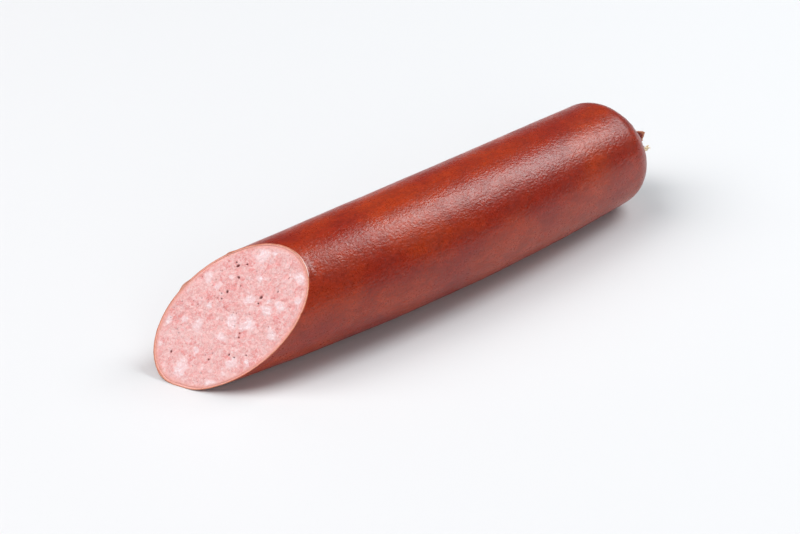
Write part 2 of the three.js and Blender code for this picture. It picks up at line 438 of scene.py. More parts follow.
def tail_rings(turn, neck_end):
    """The dried tail past the tie: out along its flaps, over their thin edge and down into its cup."""
    shape, reach = tail_flap(turn)
    points = unrolled(np.zeros_like(turn), turn, 4 * MM)
    crumple = noise_at(points, 1.6 * MM, 5.5) + 0.5 * noise_at(points, 0.7 * MM, 2.9)
    length = TAIL_LENGTH * (TAIL_ROOT_SHARE + (1 - TAIL_ROOT_SHARE) * reach)
    spread = (TAIL_RADIUS / NECK_RADIUS) * (0.8 + 0.32 * shape + 0.1 * crumple)
    outside = np.linspace(0, 1, TAIL_RINGS + 1)[1:, None]
    curl = 0.06 * np.sin(9 * outside + 5 * crumple)
    along_out = TAIL_ALONG + length * outside
    radius_out = neck_end * (1 + (spread - 1) * outside**0.8 + curl * outside)
    inside = np.linspace(1, 0, CUP_RINGS)[:, None]
    cup = TAIL_ALONG + CUP_FLOOR
    along_in = cup + (along_out[-1] - cup) * inside**0.8
    radius_in = np.maximum((radius_out[-1] - TAIL_WALL) * inside**0.55, CUP_POINT)
    along = np.concatenate([along_out, along_out[-1:] + TAIL_LIP, along_in])
    radius = np.concatenate([radius_out, radius_out[-1:] - TAIL_WALL / 2, radius_in])
    return along, radius


def hidden_wall(turn, inset):
    """Rings between casing and filling, at an inset from the skin, from the cut to the closed end."""
    start = cut_along(turn, inset)
    along = start + (SHOULDER_ALONG - start) * np.array(HIDDEN_STEPS)[:, None]
    radius = swell_radius(along) - inset + body_relief(along, turn)
    angle = np.linspace(0, HIDDEN_CROWN_ANGLE, 7)[1:, None] * np.ones(len(turn))
    crown_along = SHOULDER_ALONG + (CROWN_LENGTH - inset) * np.sin(angle) ** (2 / CROWN_POWER)
    crown_radius = (SHOULDER_RADIUS - inset) * np.cos(angle) ** (2 / CROWN_POWER)
    return np.concatenate([along, crown_along]), np.concatenate([radius, crown_radius])


def cut_edge(turn):
    """The casing's cut edge: crust, the gap under the peeled film, and the film's own edge."""
    lift = film_lift(turn)
    waver = rim_waver(turn)
    along, radius = [], []
    for inset, moved, lifted, wavers in EDGE_RINGS:
        start = cut_along(turn, inset)
        along.append(start + moved * lift - wavers * waver)
        radius.append(swell_radius(start) - inset + body_relief(start, turn) + lifted * lift)
    return np.array(along), np.array(radius)


def casing_masks(along, turn, inner, edge, tail):
    """Where each finish of the casing shows, from the counts of its inner, edge and tail rings."""
    skin = inner + edge
    masks = {key: np.zeros_like(along) for key in ("bare", "smoked", "film", "thin")}
    peeled = np.clip(film_lift(turn) / (0.5 * MM), 0, 1)
    masks["bare"][inner - 1 : skin] = 1
    masks["bare"][skin] = 0.3 + 0.7 * peeled
    masks["smoked"][inner : skin + 2] = np.array(EDGE_SMOKE)[:, None]
    # Full paleness on the torn stretch is a painted highlight on the film's lifted edge; the other peels
    # keep a faint pale film tone.
    glint_stretch = np.abs(angle_between(turn, FILM_GLINT_TURN)) < FILM_GLINT_REACH
    masks["film"][skin - 2 : skin + 1] = peeled * np.where(glint_stretch, 1, FAINT_FILM)
    tip = len(along) - tail + TAIL_RINGS
    # The tail's thin lip, which the material paints with a glow of light shining through it.
    masks["thin"][tip - 4 : tip + 4] = 1
    masks["dry"] = smoothstep(along, NECK_ALONG - 1 * MM, NECK_ALONG + 2 * MM)
    masks["gathered"] = gather(along)
    masks["dry"][:inner] = masks["gathered"][:inner] = 0
    return masks


def build_casing(material):
    """One closed skin: inside, cut edge, body, crown, neck, and the tail with its cup."""
    turn = np.linspace(0, 2 * math.pi, AROUND, endpoint=False)
    inner = [rings[::-1] for rings in hidden_wall(turn, CASING_WALL)]
    crown = crown_and_neck(turn)
    tail = tail_rings(turn, crown[1][-1])
    parts = (inner, cut_edge(turn), outer_body(turn), crown, tail)
    along, radius = (np.concatenate([part[i] for part in parts]) for i in (0, 1))
    counts = [len(part[0]) for part in parts]
    rings = len(along)
    lift = np.where(np.arange(rings) < counts[0], CASING_WALL, 0)
    points = place(along, turn, radius, lift[:, None])

    first_pole = rings * AROUND
    poles = np.stack([points[0].mean(axis=0), points[-1].mean(axis=0)])
    faces = grid_quads(rings, AROUND)
    faces += fan(0, AROUND, first_pole, reverse=True)
    faces += fan((rings - 1) * AROUND, AROUND, first_pole + 1)
    masks = casing_masks(along, turn, counts[0], counts[1], counts[4])
    masks = {key: np.append(values.ravel(), [0, 0]) for key, values in masks.items()}
    every_point = np.concatenate([points.reshape(-1, 3), poles])
    return make_piece("sausage_casing", every_point, faces, material, masks)


# ---- Filling ----


def disc_grid(cells):
    """An even grid squeezed into a disc: radius share and turn of each point."""
    edge = np.linspace(-1, 1, cells + 1)
    x, y = np.meshgrid(edge, edge, indexing="ij")
    wide = np.abs(x) >= np.abs(y)
    share = np.where(wide, np.abs(x), np.abs(y))
    with np.errstate(divide="ignore", invalid="ignore"):
        turn_wide = np.where(x != 0, y / x, 0) * math.pi / 4 + np.where(x < 0, math.pi, 0)
        turn_tall = math.pi / 2 - np.where(y != 0, x / y, 0) * math.pi / 4 + np.where(y < 0, math.pi, 0)
    return share, np.where(wide, turn_wide, turn_tall)


def filling_edge(turn):
    """The filling's own edge at the cut."""
    inset = CASING_WALL + FILLING_GAP
    along = cut_along(turn, inset)
    radius = swell_radius(along) - inset + body_relief(along, turn)
    return along, place(along, turn, radius, inset)


def scatter_on_face(count, rng, small, large):
    """Random places on the cut face, in mm, each with a size."""
    places = []
    while len(places) < count:
        up, across = rng.uniform(-1, 1), rng.uniform(-1, 1)
        if up * up + across * across < 0.97:
            size = rng.uniform(small, large)
            places.append((up * FACE_HALF_LENGTH, across * FACE_HALF_WIDTH, size))
    return places


def nearest_blob(up, across, blobs, warp, softness):
    """1 inside ragged blobs on the face and 0 outside them."""
    mask = np.zeros_like(up)
    for index, (blob_up, blob_across, width) in enumerate(blobs):
        radius = width * MM / 2
        lean = 2.4 * index
        dx, dy = up - blob_up * MM, across - blob_across * MM
        near = np.abs(dx) + np.abs(dy) < 4 * radius
        stretched = dx[near] * math.cos(lean) + dy[near] * math.sin(lean)
        squeezed = dy[near] * math.cos(lean) - dx[near] * math.sin(lean)
        away = np.hypot(stretched / 1.22, squeezed / 0.82) / radius + warp[near]
        mask[near] = np.maximum(mask[near], 1 - smoothstep(away, 1 - softness, 1 + softness))
    return mask


def build_filling(material):
    """The firm meat: a cut face with grain, fat and pores, and the stuffed side inside the casing."""
    rng = random.Random(11)
    share, turn = disc_grid(FACE_CELLS)
    inset = CASING_WALL + FILLING_GAP
    fine_turn = np.linspace(0, 2 * math.pi, 1441)
    fine_edge = filling_edge(fine_turn)[1]
    wrapped = turn % (2 * math.pi)
    edge = np.stack([np.interp(wrapped, fine_turn, fine_edge[:, axis]) for axis in range(3)], axis=-1)
    points = CUT_MIDDLE + share[..., None] * (edge - CUT_MIDDLE)

    up = (points - CUT_MIDDLE) @ UP_SLANT
    across = (points - CUT_MIDDLE) @ ACROSS_SLANT
    from_edge = (1 - share) * np.linalg.norm(edge - CUT_MIDDLE, axis=-1)
    warp = 0.5 * noise_at(points, 1.5 * MM, 2.2) + 0.22 * noise_at(points, 0.6 * MM, 9.1)
    fat = nearest_blob(up, across, FAT_PIECES, warp, 0.4)
    flecks = scatter_on_face(FAT_FLECKS, rng, 0.5, 1.5)
    fat = np.maximum(fat, 0.6 * nearest_blob(up, across, flecks, warp, 0.5))
    pores = [(u, a, 2 * radius) for u, a, radius in AIR_PORES]
    deep = nearest_blob(up, across, pores, 0.25 * warp, 0.3)
    small = scatter_on_face(SMALL_PORES, rng, 0.22, 0.45)
    shallow = nearest_blob(up, across, small, 0.3 * warp, 0.45)
    # Where the pores are: the material paints them dark, mostly painted shade of the hollow over the meat's
    # darker red.
    pore_shade = np.maximum(deep, 0.55 * shallow)

    relief = FAT_PROUD * fat - AIR_PORE_DEPTH * deep - SMALL_PORE_DEPTH * shallow
    for feature, height, smoothed, shift in FACE_RELIEF:
        relief += height * noise_at(points, feature, shift) * (1 - smoothed * fat)
    relief *= smoothstep(from_edge, 0, 0.5 * MM)
    relief -= FACE_EDGE_DROP * (1 - smoothstep(from_edge, 0, 0.4 * MM))
    points = points + relief[..., None] * CUT_NORMAL

    face_rim = smoothstep(-from_edge, -SMOKED_RIM, 0)
    side = filling_side(turn, inset)
    return assemble_filling(points, fat, pore_shade, face_rim, side, material)


def filling_side(turn, inset):
    """Rings of the hidden side, one column to each point on the rim of the face's grid."""
    cells = FACE_CELLS
    loop = [(i, 0) for i in range(cells)] + [(cells, j) for j in range(cells)]
    loop += [(i, cells) for i in range(cells, 0, -1)] + [(0, j) for j in range(cells, 0, -1)]
    rim_turn = np.array([turn[i, j] for i, j in loop])
    along, radius = hidden_wall(rim_turn, inset)
    return loop, place(along, rim_turn, radius, inset)[1:]


def assemble_filling(face, fat, pore_shade, rim, side, material):
    """Joins the face's grid, the side's rings and the far pole into one closed mesh."""
    loop, rings = side
    width = FACE_CELLS + 1
    face_count = width * width
    faces = []
    for i in range(FACE_CELLS):
        row, below = i * width, (i + 1) * width
        faces += [(row + j, row + j + 1, below + j + 1, below + j) for j in range(FACE_CELLS)]
    rim_index = [i * width + j for i, j in loop]
    columns = len(loop)
    first = [face_count + column for column in range(columns)]
    for column in range(columns):
        after = (column + 1) % columns
        faces.append((rim_index[column], rim_index[after], first[after], first[column]))
    faces += grid_quads(len(rings), columns, face_count)
    pole = face_count + len(rings) * columns
    faces += fan(pole - columns, columns, pole)
    points = np.concatenate([face.reshape(-1, 3), rings.reshape(-1, 3), rings[-1].mean(axis=0)[None]])
    hidden = np.zeros(len(rings) * columns + 1)
    masks = {"fat": (fat, hidden), "pore_shade": (pore_shade, hidden), "rim": (rim, hidden + 1)}
    masks = {key: np.append(shown, rest) for key, (shown, rest) in masks.items()}
    return make_piece("sausage_filling", points, faces, material, masks)


# ---- Node helpers ----


def new_tree(name, kind, inputs, outputs):
    """A node group with named sockets: each input is a number, or the name of its socket type."""
    tree = bpy.data.node_groups.new(name, kind)
    number_types = {int: "NodeSocketInt", float: "NodeSocketFloat"}
    for label, value in inputs.items():
        kind = number_types.get(type(value), value)
        socket = tree.interface.new_socket(name=label, in_out="INPUT", socket_type=kind)
        if type(value) in number_types:
            socket.default_value = value
    for label, kind in outputs.items():
        tree.interface.new_socket(name=label, in_out="OUTPUT", socket_type=kind)
    return tree, tree.nodes.new("NodeGroupInput").outputs, tree.nodes.new("NodeGroupOutput")


def feed(tree, node, inputs):
    """Gives each of a node's inputs a value or another node's output."""
    for key, value in inputs.items():
        if isinstance(value, bpy.types.NodeSocket):
            tree.links.new(value, node.inputs[key])
        else:
            node.inputs[key].default_value = value


def add_node(tree, kind, inputs=None, **settings):
    """Adds a node with its settings and what feeds its inputs, and returns its outputs."""
    node = tree.nodes.new(kind)
    for key, value in settings.items():
        setattr(node, key, value)
    feed(tree, node, inputs or {})
    return node.outputs


def math_node(tree, operation, *values):
    return add_node(tree, "ShaderNodeMath", dict(enumerate(values)), operation=operation)[0]


def vector_node(tree, operation, *values):
    return add_node(tree, "ShaderNodeVectorMath", dict(enumerate(values)), operation=operation)[0]


def scaled(tree, vector, scale):
    return add_node(tree, "ShaderNodeVectorMath", {0: vector, "Scale": scale}, operation="SCALE")[0]


def noise_node(tree, vector, scale, detail):
    settings = {"Vector": vector, "Scale": scale, "Detail": detail}
    return add_node(tree, "ShaderNodeTexNoise", settings)


def mix_colour(tree, factor, first, second, blend="MIX"):
    inputs = {0: factor, 6: first, 7: second}
    settings = {"data_type": "RGBA", "blend_type": blend, "clamp_factor": True}
    return add_node(tree, "ShaderNodeMix", inputs, **settings)[2]


def attribute(tree, name):
    return add_node(tree, "ShaderNodeAttribute", attribute_name=name)["Fac"]


# ---- Shader node groups that the materials share ----


def shader_group(name, sizes, *outputs):
    """A shader group that reads a vector and named numbers, and puts out named masks or heights."""
    inputs = {"Vector": "NodeSocketVector", **sizes}
    return new_tree(name, "ShaderNodeTree", inputs, dict.fromkeys(outputs, "NodeSocketFloat"))


def in_units_of(tree, given, size):
    """The group's vector, counted in one of its named sizes."""
    scale = math_node(tree, "DIVIDE", 1.0, given[size])
    return scaled(tree, given["Vector"], scale)


def warped(tree, vector, amount, scale, detail):
    """Pushes the pattern's coordinates about by a soft noise."""
    drift = noise_node(tree, vector, scale, detail)["Color"]
    centred = vector_node(tree, "SUBTRACT", drift, (0.5, 0.5, 0.5))
    return vector_node(tree, "ADD", vector, scaled(tree, centred, amount))


def ramp(tree, value, low, high):
    """A soft mask: 0 where a pattern is at its low level, 1 where it is at its high one."""
    levels = {"Value": value, "From Min": low, "From Max": high}
    return add_node(tree, "ShaderNodeMapRange", levels, interpolation_type="SMOOTHSTEP")[0]


def mottle_group():
    """Soft warped patches: a mask that goes from 0 to 1 between two levels of noise."""
    sizes = {"Patch Size": 0.005, "Warp": 0.5, "Low": 0.4, "High": 0.6}
    tree, given, result = shader_group("Mottle", sizes, "Mask")
    vector = warped(tree, in_units_of(tree, given, "Patch Size"), given["Warp"], 0.8, 1.0)
    patches = noise_node(tree, vector, 1.0, 3.0)["Fac"]
    feed(tree, result, {"Mask": ramp(tree, patches, given["Low"], given["High"])})
    return tree


def speck_group():
    """Small round specks, in a share of the cells that fill the surface."""
    sizes = {"Spacing": 0.001, "Speck Width": 0.3, "Amount": 0.4}
    tree, given, result = shader_group("Specks", sizes, "Mask")
    vector = in_units_of(tree, given, "Spacing")
    cells = add_node(tree, "ShaderNodeTexVoronoi", {"Vector": vector, "Scale": 1.0})
    radius = math_node(tree, "MULTIPLY", given["Speck Width"], 0.5)
    core = math_node(tree, "MULTIPLY", radius, 0.55)
    dot = ramp(tree, cells["Distance"], radius, core)
    red = add_node(tree, "ShaderNodeSeparateColor", {"Color": cells["Color"]})[0]
    chosen = math_node(tree, "LESS_THAN", red, given["Amount"])
    feed(tree, result, {"Mask": math_node(tree, "MULTIPLY", dot, chosen)})
    return tree


def grain_group():
    """Fine grain of two sizes, about 0.5, for bump, roughness and shade."""
    sizes = {"Grain Size": 0.0005, "Coarse Share": 0.4}
    tree, given, result = shader_group("Grain", sizes, "Height")
    vector = in_units_of(tree, given, "Grain Size")
    fine = noise_node(tree, vector, 1.0, 2.0)["Fac"]
    coarse = noise_node(tree, vector, 0.3, 1.0)["Fac"]
    mixed = add_node(tree, "ShaderNodeMix", {0: given["Coarse Share"], 2: fine, 3: coarse})
    feed(tree, result, {"Height": mixed[0]})
    return tree


def pebble_group():
    """Packed irregular lumps: a domed height, a tone for each lump and a mask of the seams between."""
    sizes = {"Pebble Size": 0.001, "Warp": 0.4, "Seam Width": 0.12}
    tree, given, result = shader_group("Pebbles", sizes, "Height", "Tone", "Seam")
    vector = warped(tree, in_units_of(tree, given, "Pebble Size"), given["Warp"], 0.9, 2.0)
    layout = {"Vector": vector, "Scale": 1.0}
    lumps = add_node(tree, "ShaderNodeTexVoronoi", {**layout, "Smoothness": 0.35}, feature="SMOOTH_F1")
    dome = math_node(tree, "SUBTRACT", 1.0, lumps["Distance"])
    tone = add_node(tree, "ShaderNodeSeparateColor", {"Color": lumps["Color"]})[0]
    seams = add_node(tree, "ShaderNodeTexVoronoi", layout, feature="DISTANCE_TO_EDGE")
    seam = ramp(tree, seams["Distance"], given["Seam Width"], 0.0)
    feed(tree, result, {"Height": dome, "Tone": tone, "Seam": seam})
    return tree


def use_group(tree, group, vector, **values):
    """Places a shared group in a material, with its own values, and returns its outputs."""
    inputs = {key.replace("_", " ").title(): value for key, value in values.items()}
    return add_node(tree, "ShaderNodeGroup", {"Vector": vector, **inputs}, node_tree=group)


def new_material(name):
    """An empty material with its shader, and the coordinates that its patterns read."""
    material = bpy.data.materials.new(name)
    material.use_nodes = True
    tree = material.node_tree
    tree.nodes.clear()
    shader = tree.nodes.new("ShaderNodeBsdfPrincipled")
    add_node(tree, "ShaderNodeOutputMaterial", {"Surface": shader.outputs[0]})
    vector = add_node(tree, "ShaderNodeTexCoord")["Object"]
    return material, tree, shader, vector


def shaded(tree, colour, value, low, high):
    """Darkens or lightens a colour by a pattern that goes from 0 to 1."""
    shade = math_node(tree, "MULTIPLY_ADD", value, high - low, low)
    grey = add_node(tree, "ShaderNodeCombineColor", {0: shade, 1: shade, 2: shade})[0]
    return mix_colour(tree, 1.0, colour, grey, "MULTIPLY")


def tinted(tree, colour, *tints):
    """Mixes tints in, each by a pattern and a weight."""
    for value, weight, tint in tints:
        colour = mix_colour(tree, math_node(tree, "MULTIPLY", value, weight), colour, tint)
    return colour


def finish_surface(tree, shader, colour, rough, *bumps):
    """Gives a shader its colour, its roughness and its bumps: pattern, strength and height in mm."""
    normal = {}
    for height, strength, distance in bumps:
        inputs = {"Height": height, "Strength": strength, "Distance": distance * MM, **normal}
        normal = {"Normal": add_node(tree, "ShaderNodeBump", inputs)[0]}
    feed(tree, shader, {"Base Color": colour, "Roughness": rough, **normal})


def drawn_along(tree, vector, scale):
    """Squeezes the pattern's coordinates along the sausage, which draws its features out."""
    return add_node(tree, "ShaderNodeMapping", {"Vector": vector, "Scale": (scale, 1, 1)})[0]


def translucent(tree, shader, weight, radius):
    """Lets a little light through the surface, as fat and moist skin do."""
    sizes = {"Subsurface Radius": radius, "Subsurface Scale": 1.5 * MM}
    feed(tree, shader, {"Subsurface Weight": weight, **sizes})


# ---- Materials ----


def casing_material(mottle, specks, grain, pebbles):
    """Smoked casing: orange red to deep red brown, finely grained and specked, semi-gloss."""
    material, tree, shader, vector = new_material("smoked casing")
    deep_red, orange_red = (0.265, 0.013, 0.001, 1), (0.36, 0.030, 0.001, 1)
    smoke_brown, pepper, pale_dot = (0.16, 0.007, 0.001, 1), (0.09, 0.006, 0.003, 1), (0.60, 0.15, 0.07, 1)
    pleat_red, dried_red, painted_lip_glow = (0.20, 0.022, 0.012, 1), (0.13, 0.010, 0.007, 1), (0.46, 0.17, 0.08, 1)
    crust_pink, crust_brown, pale_film = (0.80, 0.36, 0.31, 1), (0.50, 0.15, 0.06, 1), (0.92, 0.72, 0.66, 1)

    drawn_out = drawn_along(tree, vector, 0.6)
    broad = use_group(tree, mottle, drawn_out, patch_size=0.022, warp=0.6, low=0.36, high=0.64)[0]
    patches = use_group(tree, mottle, drawn_out, patch_size=0.0046, warp=0.8, low=0.35, high=0.68)[0]
    lumps = use_group(tree, pebbles, drawn_out, pebble_size=0.00085, warp=0.7, seam_width=0.1)
    fine = use_group(tree, grain, vector, grain_size=0.00055, coarse_share=0.3)[0]
    dark_specks = use_group(tree, specks, vector, spacing=0.0014, speck_width=0.42, amount=0.4)[0]
    pale_specks = use_group(tree, specks, drawn_out, spacing=0.0021, speck_width=0.2, amount=0.3)[0]

    colour = mix_colour(tree, broad, deep_red, orange_red)
    colour = tinted(tree, colour, (patches, 0.28, smoke_brown))
    colour = shaded(tree, colour, fine, 0.5, 1.5)
    colour = shaded(tree, colour, lumps["Tone"], 0.9, 1.1)
    colour = tinted(tree, colour, (dark_specks, 0.22, pepper), (pale_specks, 0.35, pale_dot))
    gathered, dry, thin = (attribute(tree, name) for name in ("gathered", "dry", "thin"))
    # Of these tints, the tan on the tail's thin lip is a painted glow of light shining through it.
    colour = tinted(tree, colour, (gathered, 0.35, pleat_red), (dry, 0.85, dried_red), (thin, 0.75, painted_lip_glow))
    crust = mix_colour(tree, attribute(tree, "smoked"), crust_pink, crust_brown)
    crust = shaded(tree, crust, fine, 0.7, 1.3)
    # The peeled film's pale tone, brightened into a painted highlight along the torn stretch.
    crust = tinted(tree, crust, (attribute(tree, "film"), 0.9, pale_film))
    colour = mix_colour(tree, attribute(tree, "bare"), colour, crust)

    rough = math_node(tree, "MULTIPLY_ADD", fine, 0.4, 0.1)
    rough = math_node(tree, "MULTIPLY_ADD", patches, 0.06, rough)
    rough = math_node(tree, "MULTIPLY_ADD", dark_specks, 0.26, rough)
    translucent(tree, shader, 0.06, (1.0, 0.25, 0.1))

    wrinkles = use_group(tree, grain, drawn_out, grain_size=0.0014, coarse_share=0.3)[0]
    bumps = (wrinkles, 0.3, 0.1), (lumps["Height"], 0.6, 0.13), (fine, 0.7, 0.17)
    finish_surface(tree, shader, colour, rough, *bumps)
    return material


def filling_material(mottle, specks, grain, pebbles):
    """Cut cured meat: pink, lumpy and streaked, with pale fat, pores darkened with painted shade over their
    darker red, and a smoked edge.
    """
    material, tree, shader, vector = new_material("cut cured meat")
    lean_red, lean_pink, cloud_pink = (0.76, 0.265, 0.255, 1), (0.79, 0.38, 0.365, 1), (0.81, 0.48, 0.465, 1)
    seam_pale, crumb_pale = (0.84, 0.58, 0.575, 1), (0.86, 0.61, 0.60, 1)
    streak_pale, strand_red = (0.84, 0.60, 0.595, 1), (0.70, 0.22, 0.20, 1)
    fat_pink, fat_white = (0.80, 0.61, 0.625, 1), (0.86, 0.75, 0.785, 1)
    speck_red, painted_pore_shade, rim_brown = (0.42, 0.08, 0.07, 1), (0.16, 0.008, 0.01, 1), (0.78, 0.33, 0.27, 1)

    clouds = use_group(tree, mottle, vector, patch_size=0.006, warp=2.2, low=0.4, high=0.6)[0]
    streaks = use_group(tree, mottle, vector, patch_size=0.0021, warp=4.5, low=0.5, high=0.6)[0]
    strands = use_group(tree, mottle, vector, patch_size=0.0009, warp=5.0, low=0.5, high=0.64)[0]
    lumps = use_group(tree, pebbles, vector, pebble_size=0.0031, warp=1.9, seam_width=0.14)
    crumbs = use_group(tree, pebbles, vector, pebble_size=0.0013, warp=1.9, seam_width=0.11)
    fine = use_group(tree, grain, vector, grain_size=0.0003, coarse_share=0.5)[0]
    red_specks = use_group(tree, specks, vector, spacing=0.0016, speck_width=0.24, amount=0.3)[0]

    colour = mix_colour(tree, lumps["Tone"], lean_red, lean_pink)
    colour = tinted(tree, colour, (clouds, 0.45, cloud_pink))
    colour = tinted(tree, colour, (lumps["Seam"], 0.5, seam_pale), (crumbs["Seam"], 0.3, crumb_pale))
    colour = shaded(tree, colour, crumbs["Tone"], 0.95, 1.05)
    colour = tinted(tree, colour, (streaks, 0.5, streak_pale), (strands, 0.4, strand_red))
    colour = shaded(tree, colour, fine, 0.76, 1.08)
    fat_tone = mix_colour(tree, streaks, fat_pink, fat_white)
    fat, pore_shade = attribute(tree, "fat"), attribute(tree, "pore_shade")
    rim = math_node(tree, "POWER", attribute(tree, "rim"), 3.0)
    colour = tinted(tree, colour, (fat, 0.72, fat_tone), (red_specks, 0.6, speck_red))
    # Painted shade in the pores, over their darker red, and the smoked brown of the rim.
    colour = tinted(tree, colour, (pore_shade, 0.92, painted_pore_shade), (rim, 0.8, rim_brown))

    rough = math_node(tree, "MULTIPLY_ADD", fine, 0.35, 0.22)
    translucent(tree, shader, 0.12, (1.0, 0.35, 0.25))
    bumps = (crumbs["Height"], 0.6, 0.3), (strands, 0.4, 0.14), (fine, 0.6, 0.12)
    finish_surface(tree, shader, colour, rough, *bumps)
    return material


def twine_material(mottle, grain):
    """Cotton twine: off-white, matt, fibrous, yellowed towards its cut ends."""
    material, tree, shader, vector = new_material("cotton twine")
    cotton, stained, cut_yellow = (0.80, 0.76, 0.66, 1), (0.70, 0.62, 0.46, 1), (0.80, 0.60, 0.33, 1)
    stains = use_group(tree, mottle, vector, patch_size=0.002, warp=1.0, low=0.4, high=0.65)[0]
    fibre = use_group(tree, grain, vector, grain_size=0.00012, coarse_share=0.4)[0]
    colour = mix_colour(tree, stains, cotton, stained)
    colour = tinted(tree, colour, (attribute(tree, "cut_end"), 0.9, cut_yellow))
    colour = shaded(tree, colour, fibre, 0.6, 1.4)
    rough = math_node(tree, "MULTIPLY_ADD", fibre, 0.2, 0.72)
    shader.inputs["Sheen Weight"].default_value = 0.3
    finish_surface(tree, shader, colour, rough, (fibre, 0.8, 0.08))
    return material


# ---- Tie ----


def on_neck(along, radius, degrees):
    """A point at a radius round the neck's centre line."""
    return place(np.array(along), np.array(math.radians(degrees)), radius).reshape(3)


def twine_paths():
    """The twine's lines: turns round the neck, a strand knotted over them and the two cut ends."""
    lay = NECK_RADIUS * 1.06 + TWINE_CLEARANCE + TWINE_RADIUS
    pitch = 2 * TWINE_RADIUS + TURN_GAP
    middle = NECK_ALONG + TWINE_CLEARANCE + TWINE_RADIUS + TWINE_TURNS * pitch / 2
    tight = lay - 0.15 * MM
    turns, crossing = [], []
    for step in range(TWINE_TURNS * STEPS_PER_TURN + 1):
        turned = step / STEPS_PER_TURN
        wobble = 0.08 * MM * math.sin(5 * turned + 1)
        along = middle + pitch * (turned - TWINE_TURNS / 2) + wobble
        turns.append(on_neck(along, tight, KNOT_TURN + 360 * turned))
    for step in range(CROSSING_STEPS + 1):
        share = 2 * step / CROSSING_STEPS - 1
        rise = (1.3 - 0.9 * share * share) * MM
        along = middle + KNOT_REACH * share
        crossing.append(on_neck(along, tight + rise, KNOT_TURN + KNOT_TWIST * share))
    paths = [(turns, 0), (crossing, 0)]
    for length, lean, root, tip in FREE_ENDS:
        toward_tail = length * MM * math.sin(math.radians(lean))
        outward = length * MM * math.cos(math.radians(lean))
        line = []
        for step in range(FREE_END_STEPS + 1):
            share = step / FREE_END_STEPS
            radius = lay + TWINE_RADIUS + outward * share
            line.append(on_neck(middle + toward_tail * share, radius, root + (tip - root) * share))
        paths.append((line, 1))
    return paths


def path_object(paths):
    """The paths as loose edges, with how close each point is to a cut end."""
    points, edges, cut_end = [], [], []
    for line, free in paths:
        start = len(points)
        points += [list(point) for point in line]
        edges += [(start + i, start + i + 1) for i in range(len(line) - 1)]
        cut_end += [free * i / (len(line) - 1) for i in range(len(line))]
    mesh = bpy.data.meshes.new("neck_twine")
    mesh.from_pydata(points, edges, [])
    mesh.attributes.new("cut_end", "FLOAT", "POINT").data.foreach_set("value", cut_end)
    return new_object("neck_twine", mesh)


def twine_tree():
    """Geometry Nodes: twisted plies along every path, fanned and thinned at a cut end, with hairs."""
    inputs = {"Paths": "NodeSocketGeometry", **TWINE_SIZES, "Finish": "NodeSocketMaterial"}
    outputs = {"Twine": "NodeSocketGeometry"}
    tree, given, result = new_tree("Laid twine", "GeometryNodeTree", inputs, outputs)
    plies = lay_plies(tree, given)
    hairs = stray_hairs(tree, given, plies)
    joined = tree.nodes.new("GeometryNodeJoinGeometry")
    tree.links.new(plies, joined.inputs[0])
    tree.links.new(hairs, joined.inputs[0])
    smooth = add_node(tree, "GeometryNodeSetShadeSmooth", {"Geometry": joined.outputs[0]})
    real = add_node(tree, "GeometryNodeRealizeInstances", {"Geometry": smooth[0]})
    finish = {"Geometry": real[0], "Material": given["Finish"]}
    feed(tree, result, {"Twine": add_node(tree, "GeometryNodeSetMaterial", finish)[0]})
    return tree


def lay_plies(tree, given):
    """Copies each path once for each ply, winds the copies round it and gives them their width."""
    curves = add_node(tree, "GeometryNodeMeshToCurve", {"Mesh": given["Paths"]})
    spacing = {"Curve": curves[0], "Length": given["Step"]}
    even = add_node(tree, "GeometryNodeResampleCurve", spacing, mode="LENGTH")
    each_ply = {"Geometry": even[0], "Amount": given["Plies"]}
    copies = add_node(tree, "GeometryNodeDuplicateElements", each_ply, domain="SPLINE")
    along = add_node(tree, "GeometryNodeSplineParameter")["Length"]
    turned = math_node(tree, "DIVIDE", along, given["Twist Length"])
    share = math_node(tree, "DIVIDE", copies["Duplicate Index"], given["Plies"])
    angle = math_node(tree, "MULTIPLY", math_node(tree, "ADD", turned, share), 2 * math.pi)
    tangent = add_node(tree, "GeometryNodeInputTangent")[0]
    normal = add_node(tree, "GeometryNodeInputNormal")[0]
    across = vector_node(tree, "CROSS_PRODUCT", tangent, normal)
    cosine = scaled(tree, normal, math_node(tree, "COSINE", angle))
    sine = scaled(tree, across, math_node(tree, "SINE", angle))
    named = {"Name": "cut_end"}
    cut_end = add_node(tree, "GeometryNodeInputNamedAttribute", named, data_type="FLOAT")["Attribute"]
    fan_out = math_node(tree, "MULTIPLY_ADD", math_node(tree, "POWER", cut_end, 4.0), 0.6, 1.0)
    offset = scaled(tree, vector_node(tree, "ADD", cosine, sine), fan_out)
    offset = scaled(tree, offset, given["Lay Radius"])
    wound = add_node(tree, "GeometryNodeSetPosition", {"Geometry": copies[0], "Offset": offset})
    thinner = math_node(tree, "MULTIPLY", math_node(tree, "POWER", cut_end, 6.0), 0.6)
    lumps = add_node(tree, "ShaderNodeTexNoise", {"Scale": 1400.0, "Detail": 1.0})[0]
    uneven = math_node(tree, "MULTIPLY", lumps, 0.3)
    width = math_node(tree, "ADD", math_node(tree, "SUBTRACT", 0.85, thinner), uneven)
    width = math_node(tree, "MULTIPLY", width, given["Ply Radius"])
    return swept(tree, wound[0], 10, 1.0, width)


def swept(tree, curve, sides, radius, scale):
    """A round section run along a curve, closed at both ends."""
    section = add_node(tree, "GeometryNodeCurvePrimitiveCircle", {"Resolution": sides, "Radius": radius})
    solid = {"Curve": curve, "Profile Curve": section[0], "Scale": scale, "Fill Caps": True}
    return add_node(tree, "GeometryNodeCurveToMesh", solid)[0]


